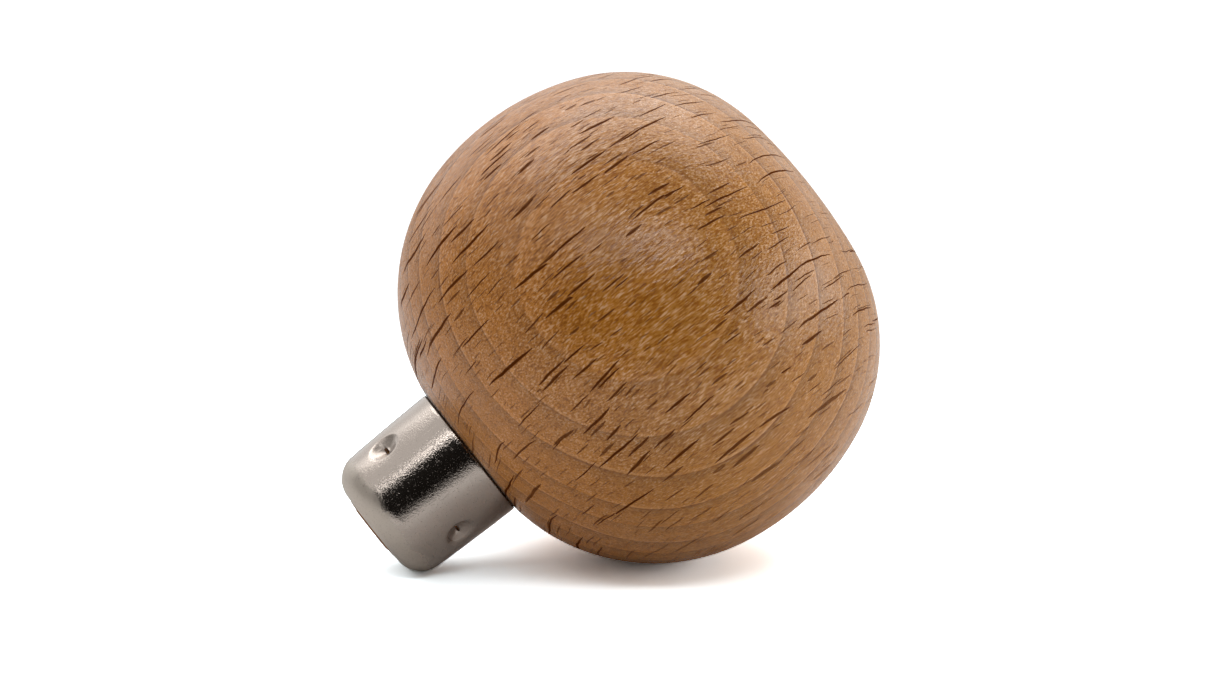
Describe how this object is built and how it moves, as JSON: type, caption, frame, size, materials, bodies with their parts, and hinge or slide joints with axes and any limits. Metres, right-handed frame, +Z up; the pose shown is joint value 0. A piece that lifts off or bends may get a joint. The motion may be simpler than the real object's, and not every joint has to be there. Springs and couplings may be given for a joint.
{
  "type": "palm tool handle",
  "caption": "Ball-shaped turned beech palm handle with a crimped steel ferrule, bored for the tang of a small carving tool, awl or graver.",
  "frame": {"origin": "on the bench, under the middle of the handle's footprint (the bounding box's bottom centre) as it rests on its ball and on the ferrule's nose", "axes": "+Z up from the bench, +X level and along the handle from the ferrule towards the crown of the ball. The handle's turning axis lies in the XZ plane and rises 36.6 degrees above +X."},
  "size_m": [0.0526, 0.048, 0.0478],
  "materials": {
    "beech": "satin lacquer",
    "nickel_plated_steel": "satin nickel plate"
  },
  "bodies": {
    "root": {"ball_handle": "beech", "ferrule": "nickel_plated_steel"}
  },
  "joints": []
}
